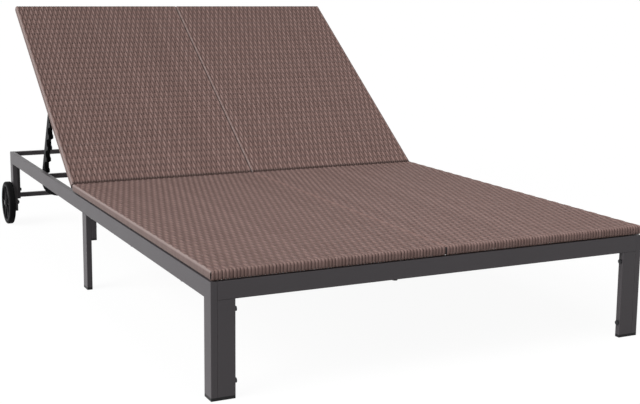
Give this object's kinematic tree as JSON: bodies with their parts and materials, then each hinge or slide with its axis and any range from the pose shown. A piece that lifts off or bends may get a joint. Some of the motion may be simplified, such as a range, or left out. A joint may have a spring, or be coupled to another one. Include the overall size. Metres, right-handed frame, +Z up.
{
  "type": "rattan sun lounger",
  "caption": "Wide woven-rattan sun lounger on a steel frame, with a hinged backrest held at several angles by a swinging toothed support, and a wheel at each head-end corner.",
  "frame": {"origin": "on the floor, at the middle of the overall width and length", "axes": "+Z up, +Y from the foot end to the head end, +X to the right as seen from the foot end"},
  "size_m": [1.187, 2.055, 0.772],
  "materials": {
    "frame_metal": "satin dark grey powder coat",
    "weave": "taupe-brown synthetic rattan strands, plainly woven",
    "black_plastic": "moulded black plastic",
    "strut_metal": "black powder coat, slightly glossy",
    "zinc_steel": "dark zinc-plated steel",
    "wheel_plastic": "moulded black plastic",
    "tyre_rubber": "soft black rubber-like plastic"
  },
  "bodies": {
    "base": {"axle_bolts": "zinc_steel", "axle_nuts": "zinc_steel", "axle_washers": "zinc_steel", "drain_plug": "black_plastic", "feet": "black_plastic", "frame_bolts": "zinc_steel", "front_inner_leg_left": "frame_metal", "front_inner_leg_right": "frame_metal", "front_leg_left": "frame_metal", "front_leg_right": "frame_metal", "front_rail": "frame_metal", "hinge_fixed_leaves": "zinc_steel", "hinge_pins": "zinc_steel", "hinge_seat_screws": "zinc_steel", "mid_crossbar": "frame_metal", "mid_leg_left": "frame_metal", "mid_leg_right": "frame_metal", "mid_stubs": "frame_metal", "rear_inner_legs": "frame_metal", "rear_leg_left": "frame_metal", "rear_leg_right": "frame_metal", "rear_lower_bar": "frame_metal", "rear_rail": "frame_metal", "rest_bar": "frame_metal", "rest_bar_screws": "zinc_steel", "seat_foot_tube": "frame_metal", "seat_head_tube": "frame_metal", "seat_middle_tubes": "frame_metal", "seat_screws": "zinc_steel", "seat_side_tube_left": "frame_metal", "seat_side_tube_right": "frame_metal", "seat_slats": "frame_metal", "seat_spacers": "black_plastic", "seat_weave_left": "weave", "seat_weave_right": "weave", "side_rail_left": "frame_metal", "side_rail_right": "frame_metal", "tube_end_caps": "black_plastic", "weld_nuts": "zinc_steel"},
    "backrest": {"back_bumpers": "black_plastic", "back_foot_tube": "frame_metal", "back_head_tube": "frame_metal", "back_middle_tubes": "frame_metal", "back_side_tube_left": "frame_metal", "back_side_tube_right": "frame_metal", "back_slats": "frame_metal", "back_weave_left": "weave", "back_weave_right": "weave", "hinge_moving_leaves": "zinc_steel", "hinge_back_screws": "zinc_steel", "support_clevises": "strut_metal", "support_pins": "zinc_steel"},
    "support": {"support_bar": "strut_metal", "rack_left": "strut_metal", "rack_right": "strut_metal"},
    "wheel_left": {"wheel_rim_left": "wheel_plastic", "wheel_tyre_left": "tyre_rubber"},
    "wheel_right": {"wheel_rim_right": "wheel_plastic", "wheel_tyre_right": "tyre_rubber"}
  },
  "joints": [
    {"name": "backrest_recline", "type": "hinge", "parent": "base", "child": "backrest", "pos_m": [0, 0.1025, 0.2522], "axis": [1, 0, 0], "range_deg": [-35, 0]},
    {"name": "support_swing", "type": "hinge", "parent": "backrest", "child": "support", "pos_m": [0, 0.44609, 0.48851], "axis": [1, 0, 0], "range_deg": [0, 98.5]},
    {"name": "wheel_left_spin", "type": "hinge", "parent": "base", "child": "wheel_left", "pos_m": [-0.579, 0.9525, 0.075], "axis": [1, 0, 0], "continuous": true},
    {"name": "wheel_right_spin", "type": "hinge", "parent": "base", "child": "wheel_right", "pos_m": [0.579, 0.9525, 0.075], "axis": [1, 0, 0], "continuous": true}
  ],
  "couplings": [
    {"joint": "support_swing", "follows": "backrest_recline", "ratio": -2.8056}
  ]
}
